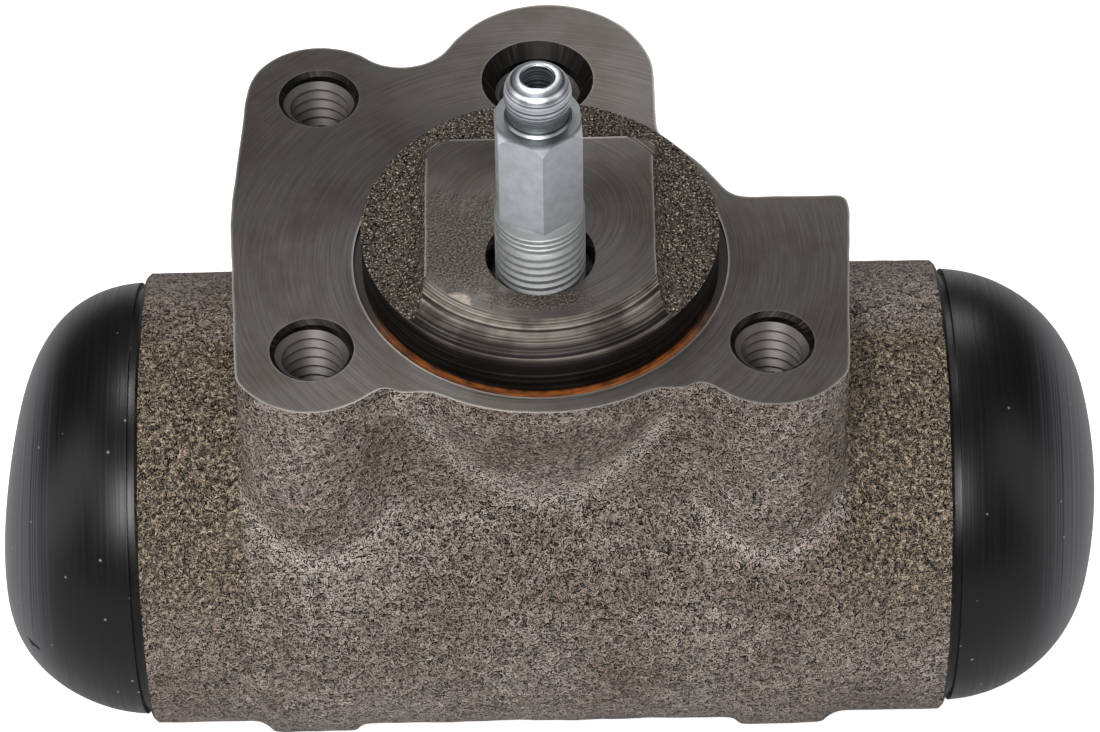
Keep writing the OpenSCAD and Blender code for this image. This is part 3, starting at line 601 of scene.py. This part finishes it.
def soften(obj):
    """Melts the stock into one skin with the round edges, fillets and unevenness of a sand casting."""
    modifier = obj.modifiers.new("skin", "REMESH")
    modifier.mode = "VOXEL"
    modifier.voxel_size = VOXEL
    graph = bpy.context.evaluated_depsgraph_get()
    skin = bpy.data.meshes.new_from_object(obj.evaluated_get(graph))
    bpy.data.objects.remove(obj)
    bm = bmesh.new()
    bm.from_mesh(skin)
    bpy.data.meshes.remove(skin)
    for _ in range(SOFTEN_STEPS):
        bmesh.ops.smooth_vert(bm, verts=bm.verts[:], factor=0.5, use_axis_x=True, use_axis_y=True,
                              use_axis_z=True)
    bm.normal_update()
    ledge_highlight = bm.verts.layers.float.new("ledge_highlight")
    for vert in bm.verts:
        at = vert.co / MM
        # How near the vertex lies to where a front lobe or the apron under the flange meets the barrel,
        # where the highlight is painted.
        barrel = math.hypot(at.y, at.z - AXIS_Z) - MID_R
        lobe = math.hypot(abs(at.x) - HOLES[1][0], at.y - HOLES[1][1]) - LOBE_R
        apron = math.hypot(at.x, at.y) - (FRONT_WALL + (at.z - APRON_LOW) * APRON_SLOPE)
        wall = min(abs(-FRONT_WALL - at.y), abs(barrel))
        if at.y < LEDGE_HIGHLIGHT_FRONT_Y and at.z > AXIS_Z:
            vert[ledge_highlight] = max(math.exp(-(lobe ** 2 + barrel ** 2) / LEDGE_HIGHLIGHT_SPREAD),
                              math.exp(-(apron ** 2 + wall ** 2) / LEDGE_HIGHLIGHT_SPREAD))
        swell = sum(height * noise.noise(at / span) for height, span in SKIN_WAVES)
        # The flash line where the two halves of the mould met, along the top of the collars.
        if abs(at.x) > FLASH_FROM_X and at.z > AXIS_Z:
            wander = 0.3 * noise.noise(at / 4.0)
            swell += FLASH_H * math.exp(-((at.y - FLASH_Y - wander) / FLASH_HALF_W) ** 2)
        # The two ribs stand out a little more on the lower front of the barrel.
        low = AXIS_Z - at.z
        if at.y < 0 and low > 0:
            rib = math.exp(-(max(0.0, abs(abs(at.x) - RIB_X) - RIB_HALF_W) / RIB_EDGE) ** 2)
            swell += RIB_SWELL * rib * min(1.0, low / RIB_RISE) * -at.y / COLLAR_R
        vert.co += vert.normal * swell * MM
        vert.co.y = max(vert.co.y, CAD_BOX[0][1])
    return to_object(bm, "cylinder_casting", IRON_FINISHES)


def cutter(name, finish, *solids):
    """One cutter from several (profile, place, steps) spins, all with one finish."""
    bm = bmesh.new()
    for profile, place, steps in solids:
        for face in spun(bm, profile, place, steps):
            face.material_index = IRON_FINISHES.index(finish)
    return to_object(bm, name, IRON_FINISHES)


def machine(body):
    """Takes the cuts that the real casting gets: faced, turned, drilled, tapped and bored."""
    facing = bmesh.new()
    faces = spun(facing, [(PILOT_R, UNDERCUT_Z), (UNDERCUT_R, UNDERCUT_Z), (UNDERCUT_R, 0), (FACE_REACH, 0),
                          (FACE_REACH, CLEAR_Z), (PILOT_R, CLEAR_Z)], steps=256)
    for face in faces:
        middle = face.calc_center_median() / MM
        away = math.hypot(middle.x, middle.y)
        if away < PILOT_R + 0.02:
            finish = TURNED
        elif middle.z < -0.01:
            finish = RUST
        else:
            finish = FACED
        face.material_index = IRON_FINISHES.index(finish)
    cut(body, to_object(facing, "facing_cut", IRON_FINISHES))
    slope = (PILOT_R - LAND_R) / (LAND_H - PILOT_WALL)
    cut(body, cutter("land_cut", FACED,
                     ([(0, LAND_H), (LAND_R, LAND_H), (LAND_R, CLEAR_Z), (0, CLEAR_Z)], Matrix(), 192)))
    cut(body, cutter("chamfer_cut", TURNED,
                     ([(LAND_R - 0.02, LAND_H + 0.01), (LAND_R + slope * 3, LAND_H - 3),
                       (CLEAR_R, LAND_H - 3), (CLEAR_R, CLEAR_Z), (LAND_R - 0.02, CLEAR_Z)],
                      Matrix(), 192)))
    rim = HOLE_RIM_R - HOLE_R
    tapped = [([(0, -HOLE_DEPTH - 2), (HOLE_R, -HOLE_DEPTH), (HOLE_R, -rim), (HOLE_R + rim + 1, 1), (0, 1)],
               shift(x, y), 64) for x, y in HOLES]
    port = ([(0, -INLET_DEPTH - 2.4), (INLET_R, -INLET_DEPTH), (INLET_R, -INLET_RIM),
             (INLET_R + INLET_RIM + 1, 1), (0, 1)], shift(*INLET), 96)
    seat = ([(0, -18.5), (PASSAGE_R, -18.5), (PASSAGE_R, -10.3), (BLEEDER_HOLE_R, -7),
             (BLEEDER_HOLE_R, CBORE_Z), (CBORE_R, CBORE_Z), (CBORE_R, CLEAR_Z), (0, CLEAR_Z)],
            shift(*BLEEDER), 96)
    cut(body, cutter("drilled_cuts", TURNED, *tapped, port, seat))
    ends = []
    for side in (-1, 1):
        face_x, far = side * HALF_LEN, side * (HALF_LEN + 20)
        inner_x = face_x - side * 1.0
        ends.append(([(SNOUT_R, face_x), (COLLAR_R - 0.35, face_x), (COLLAR_R + 0.65, inner_x),
                      (CLEAR_R, inner_x), (CLEAR_R, far), (SNOUT_R, far)], ALONG_BARREL, 192))
    cut(body, cutter("end_cuts", TURNED, *ends))
    tip = HALF_LEN + SNOUT_LEN
    over = 12
    cut(body, cutter("bore_cut", TURNED, ([(0, -tip - over), (BORE_R, -tip - over), (BORE_R, tip + over),
                                           (0, tip + over)], ALONG_BARREL, 160)))
    for side in (-1, 1):
        cut(body, cutter("snout_cut", TURNED,
                         ([(BORE_R - 1, side * tip), (CLEAR_R, side * tip), (CLEAR_R, side * (tip + over)),
                           (BORE_R - 1, side * (tip + over))], ALONG_BARREL, 96)))
    finished = bmesh.new()
    finished.from_mesh(body.data)
    shade(finished)
    finished.to_mesh(body.data)
    finished.free()


def thread(bm, root_r, crest_r, pitch, low, high, place, steps_per_turn=48, flat=0.07):
    """A helical thread ridge between two heights, from a root radius to a crest radius, in millimetres."""
    half_root, half_crest = pitch * 0.46, pitch * flat
    turns = (high - low) / pitch
    profile = [(root_r, -half_root), (crest_r, -half_crest), (crest_r, half_crest), (root_r, half_root)]
    old_verts = set(bm.verts)
    old_faces = set(bm.faces)
    verts = [bm.verts.new((r * MM, 0, (low + z) * MM)) for r, z in profile]
    face = bm.faces.new(verts)
    steps = int(turns * steps_per_turn)
    bmesh.ops.spin(bm, geom=[face], cent=(0, 0, 0), axis=(0, 0, 1), dvec=(0, 0, (high - low) * MM / steps),
                   angle=turns * 2 * math.pi, steps=steps, use_merge=False, use_duplicate=False)
    bmesh.ops.recalc_face_normals(bm, faces=[f for f in bm.faces if f not in old_faces])
    bmesh.ops.transform(bm, matrix=place, verts=[v for v in bm.verts if v not in old_verts])


def tapped_threads():
    """Thread ridges in the mounting holes and the inlet."""
    bm = bmesh.new()
    for x, y in HOLES:
        thread(bm, HOLE_R + 0.05, HOLE_R - 0.72, HOLE_PITCH, -HOLE_DEPTH + 1.5, -1.15, shift(x, y))
    thread(bm, INLET_R + 0.05, INLET_R - 0.52, BLEEDER_PITCH, -INLET_DEPTH + 1.5, -2.3, shift(*INLET))
    return to_object(bm, "tapped_threads", [THREAD])


def bleeder():
    """Bleeder screw: threaded shank, turned hexagon, neck and a rounded hose bead with its drilling."""
    place = shift(*BLEEDER)
    hex_low, hex_top, neck_r, bead_r, top = 14.6, 27.1, 3.2, 3.45, 32.6
    bm = bmesh.new()
    bmesh.ops.create_circle(bm, cap_ends=True, segments=6,
                            radius=HEX_FLATS / 2 / math.cos(math.pi / 6) * MM,
                            matrix=Matrix.Rotation(HEX_TURN, 4, "Z") @ shift(0, 0, hex_low))
    up = bmesh.ops.extrude_face_region(bm, geom=bm.faces[:])
    tops = [v for v in up["geom"] if isinstance(v, bmesh.types.BMVert)]
    bmesh.ops.translate(bm, verts=tops, vec=(0, 0, (hex_top - hex_low) * MM))
    bmesh.ops.recalc_face_normals(bm, faces=bm.faces[:])
    bmesh.ops.transform(bm, matrix=place, verts=bm.verts[:])
    screw = to_object(bm, "bleeder_screw_zinc", [ZINC])
    # The hexagon's top is turned to a cone, which leaves the curved edge on each flat.
    turn = bmesh.new()
    spun(turn, [(0, hex_low - 1), (6.0, hex_low - 1), (6.0, hex_top - 3.6), (4.4, hex_top), (0, hex_top)],
         place, 96)
    cut(screw, to_object(turn, "hexagon_turning", [ZINC]), "INTERSECT")
    shank = bmesh.new()
    core_r = BLEEDER_R - 0.5
    thread_top = 10.9
    spun(shank, [(0, -10.0), (PASSAGE_R, -10.0), (core_r, -7.3), (core_r, thread_top),
                 (BLEEDER_R - 0.2, thread_top + 0.5), (BLEEDER_R - 0.14, hex_low - 1.2), (4.3, hex_low),
                 (4.2, hex_low + 0.5), (0, hex_low + 0.5)], place, 96)
    cut(screw, to_object(shank, "bleeder_shank", [ZINC]), "UNION")
    nipple = bmesh.new()
    bead_mid = top - 2.2
    turns = [math.radians(9 * i) for i in range(11)]
    dome = [(bead_r - 1.6 * (1 - math.cos(t)), bead_mid + 2.1 * math.sin(t)) for t in turns]
    neck = [(0, hex_top - 1), (neck_r + 0.3, hex_top - 1), (neck_r + 0.3, hex_top), (neck_r, hex_top + 0.3),
            (neck_r, bead_mid - 1.5), (bead_r - 0.1, bead_mid - 1.0), (bead_r, bead_mid - 0.8)]
    drilling = [(NIPPLE_HOLE_R + 0.1, top), (NIPPLE_HOLE_R, top - 0.1), (NIPPLE_HOLE_R, top - 6),
                (0, top - 6.5)]
    spun(nipple, neck + dome + drilling, place, 96)
    cut(screw, to_object(nipple, "hose_nipple", [ZINC]), "UNION")
    bm = bmesh.new()
    bm.from_mesh(screw.data)
    thread(bm, core_r - 0.05, BLEEDER_R, BLEEDER_PITCH, -6.2, thread_top, place, 64, 0.2)
    # Above the thread the shank keeps only the faint start of the turns.
    thread(bm, BLEEDER_R - 0.3, BLEEDER_R - 0.03, 0.7, thread_top + 0.4, hex_low - 1.0, place, 64, 0.2)
    shade(bm, HEXAGON_SHARP_ANGLE)
    bm.to_mesh(screw.data)
    bm.free()
    return screw


# The way the left cap leans, in Y and Z.
LEAN_UP = (0.761, 0.649)


def boot(name, side, flatten, lean=0.0, squash=0.0):
    """A deep domed rubber cap: relief groove at the mouth, round shoulder, low dome, lipped link hole.

    flatten takes the point off the dome; lean and squash bend the cap off square, as if pressed on."""
    radius, reach, wall, hole_r, shoulder_r = 24.4, 18.0, 2.4, 4.8, 17.0
    lip_r, mouth_len = 0.5, 3.0
    shoulder = radius - shoulder_r
    dome_r = (reach ** 2 + shoulder ** 2 - shoulder_r ** 2) / (2 * (reach - shoulder_r))
    dome = reach - dome_r
    meet = math.degrees(math.atan2(-dome, shoulder))
    groove_r, groove_w = radius - 0.7, 0.9
    mouth_r = SNOUT_R + 0.03
    profile = [(mouth_r, 0), (groove_r, 0), (groove_r, groove_w)]
    profile += arc(shoulder, 0, shoulder_r, math.degrees(math.asin(groove_w / shoulder_r)), meet, 36)
    rim = math.degrees(math.acos((hole_r + lip_r) / dome_r))
    profile += arc(0, dome, dome_r, meet, rim, 14)[1:]
    top = dome + dome_r * math.sin(math.radians(rim))
    profile += arc(hole_r + lip_r, top - lip_r, lip_r, 90, 180, 5)[1:]
    under = math.degrees(math.acos((hole_r + lip_r) / (dome_r - wall)))
    floor = dome + (dome_r - wall) * math.sin(math.radians(under))
    profile += arc(hole_r + lip_r, floor + lip_r, lip_r, 180, 270, 5)
    profile += arc(0, dome, dome_r - wall, under, meet, 12)[1:]
    inner_r = shoulder_r - wall
    inner_end = math.degrees(math.asin((mouth_len + 0.1) / inner_r))
    profile += arc(shoulder, 0, inner_r, meet, inner_end, 30)[1:]
    profile.append((mouth_r, mouth_len))
    bm = bmesh.new()
    turn = Matrix.Diagonal((1, 1, side, 1))
    spun(bm, [(r, z + HALF_LEN) for r, z in profile], ALONG_BARREL @ turn, 160)
    from_mouth = bm.verts.layers.float.new("from_mouth")
    for vert in bm.verts:
        at = vert.co / MM
        vert[from_mouth] = (abs(at.x) - HALF_LEN + radius - math.hypot(at.y, at.z - AXIS_Z)) * MM
        depth = max(0.0, abs(at.x) - HALF_LEN) / reach
        up = LEAN_UP[0] * at.y + LEAN_UP[1] * (at.z - AXIS_Z)
        bend = depth ** 2.5 * (squash + lean * up) + depth ** 8 * flatten
        vert.co.x -= side * bend * MM
    bmesh.ops.recalc_face_normals(bm, faces=bm.faces[:])
    return to_object(bm, name, [RUBBER])


# The two ends of the small cut in the left cap's shoulder, and its half width.
NICK_ENDS = Vector((-57.6, -17.9, -41.1)), Vector((-56.25, -19.4, -41.1))
NICK_HALF_W = 0.3


def nick(cap):
    """Takes a short, narrow gouge out of a cap."""
    start, end = NICK_ENDS
    run = end - start
    place = (Matrix.Translation((start + end) / 2 * MM) @ run.to_track_quat("Z", "Y").to_matrix().to_4x4()
             @ Matrix.Diagonal((NICK_HALF_W, NICK_HALF_W, run.length / 2, 1)))
    bm = bmesh.new()
    bmesh.ops.create_icosphere(bm, subdivisions=2, radius=MM, matrix=place)
    cut(cap, to_object(bm, "nick_cut", [RUBBER]))


def spring_half(name, side):
    """Half of the return spring, from the middle of the bore out to one piston."""
    bm = bmesh.new()
    bm.from_mesh(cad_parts["return_spring"].data)
    bmesh.ops.remove_doubles(bm, verts=bm.verts[:], dist=1e-6)
    done = bmesh.ops.bisect_plane(bm, geom=bm.verts[:] + bm.edges[:] + bm.faces[:], plane_co=(0, 0, 0),
                                  plane_no=(-side, 0, 0), clear_outer=True)
    bmesh.ops.holes_fill(bm, edges=[e for e in done["geom_cut"] if isinstance(e, bmesh.types.BMEdge)])
    return to_object(bm, name, [SPRING])


casting = soften(cast_stock())
machine(casting)
threads = tapped_threads()
screw = bleeder()
left_cap = boot("left_boot_rubber", -1, 0.65, lean=0.11, squash=1.2)
nick(left_cap)
right_cap = boot("right_boot_rubber", 1, 0.3)

for piece, body, finish, nodes in (
        (casting, "cylinder", "cast_iron", ["cylinder_body"]),
        (threads, "cylinder", "cast_iron", []),
        (screw, "bleeder", "zinc_steel", ["bleeder_screw"]),
        (left_cap, "cylinder", "boot_rubber", ["left_boot"]),
        (right_cap, "cylinder", "boot_rubber", ["right_boot"])):
    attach(piece, body)
    if nodes:
        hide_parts(*nodes)

INNER = {"piston": (PISTON, "piston_aluminium"), "piston_cup": (CUP, "cup_rubber"),
         "cup_expander": (ZINC, "zinc_steel")}
for inner, (finish, slot_name) in INNER.items():
    for side_name in ("left", "right"):
        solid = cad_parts[f"{side_name}_{inner}"]
        solid.data.materials.clear()
        solid.data.materials.append(finish)

# The return spring is split into a half for each side.
for side_name, side in (("left", -1), ("right", 1)):
    half = spring_half(f"{side_name}_spring_half", side)
    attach(half, "cylinder")
    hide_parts("return_spring")
    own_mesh(half)


# Stage, light and camera.

def floor_paint():
    """Matt white studio board that the camera sees as near white, with the part's soft shadow on it."""
    m, _ = new_material("white_studio_board")
    ray = add_node(m, "ShaderNodeLightPath")
    # Mirrored in the part, the board is duller, as if it ended close behind it.
    tone = add_node(m, "ShaderNodeMix", {"data_type": "RGBA"}, i0=ray.outputs["Is Glossy Ray"],
                    i6=linear("#f4f4f4"), i7=linear("#b2b2b4"))
    board = add_node(m, "ShaderNodeBsdfDiffuse", Color=tone.outputs[2])
    glow = add_node(m, "ShaderNodeEmission", Color=linear("#ffffff"), Strength=0.45)
    both = add_node(m, "ShaderNodeAddShader", i0=board.outputs[0], i1=glow.outputs[0])
    mix = add_node(m, "ShaderNodeMixShader", Fac=ray.outputs["Is Camera Ray"], i1=board.outputs[0],
                   i2=both.outputs[0])
    add_node(m, "ShaderNodeOutputMaterial", Surface=mix.outputs[0])
    return m


def studio():
    """A white floor, a dim white room and five softboxes."""
    floor_z = CAD_BOX[0][2] - 0.2 * MM
    bm = bmesh.new()
    bmesh.ops.create_grid(bm, x_segments=1, y_segments=1, size=3.0,
                          matrix=Matrix.Translation((0, 0, floor_z)))
    floor = to_object(bm, "studio_floor", [floor_paint()])
    world = bpy.data.worlds.new("soft_room")
    world.use_nodes = True
    world.node_tree.nodes["Background"].inputs["Color"].default_value = linear("#ffffff")
    ray = add_node(world, "ShaderNodeLightPath")
    level = add_node(world, "ShaderNodeMapRange", Value=ray.outputs["Is Glossy Ray"], To_Min=0.15,
                     To_Max=0.06)
    world.node_tree.links.new(level.outputs[0], world.node_tree.nodes["Background"].inputs["Strength"])
    bpy.context.scene.world = world
    aim = Vector((0, 0, -0.02))
    for name, spot, width, height, power in (
            ("key_softbox", (-0.1, -0.75, 0.72), 0.55, 0.45, 13.0),
            ("fan_softbox", (-0.12, 0.3, 0.95), 0.25, 0.25, 3.6),
            ("back_softbox", (0.2, 0.8, 0.55), 0.4, 0.3, 1.6),
            ("left_softbox", (-0.92, -0.25, 0.4), 0.6, 1.0, 3.2),
            ("right_softbox", (0.92, -0.25, 0.4), 0.6, 1.0, 2.0)):
        lamp = bpy.data.lights.new(name, "AREA")
        lamp.shape = "RECTANGLE"
        lamp.size, lamp.size_y = width, height
        lamp.energy = power
        holder = bpy.data.objects.new(name, lamp)
        holder.location = spot
        holder.rotation_euler = (Vector(spot) - aim).to_track_quat("Z", "Y").to_euler()
        bpy.context.scene.collection.objects.link(holder)


def photo_camera():
    """The photograph's view: from 48 degrees above, square to the barrel, about half a metre away."""
    eye = Vector((-0.07, -331.3, 349.5)) * MM
    aim = Vector((0.86, 6.91, -25.0)) * MM
    roll = math.radians(-0.885)
    frame_width_px, focal_px, sensor_mm = 1100, 4503, 36.0
    camera = bpy.data.cameras.new("photo_camera")
    camera.sensor_fit = "HORIZONTAL"
    camera.sensor_width = sensor_mm
    camera.lens = focal_px / frame_width_px * sensor_mm
    camera.clip_start = 0.01
    holder = bpy.data.objects.new("photo_camera", camera)
    turn = (eye - aim).to_track_quat("Z", "Y").to_matrix().to_4x4() @ Matrix.Rotation(roll, 4, "Z")
    holder.matrix_world = Matrix.Translation(eye) @ turn
    bpy.context.scene.collection.objects.link(holder)
    bpy.context.scene.camera = holder


studio()
photo_camera()
bpy.context.scene.view_settings.view_transform = "Standard"
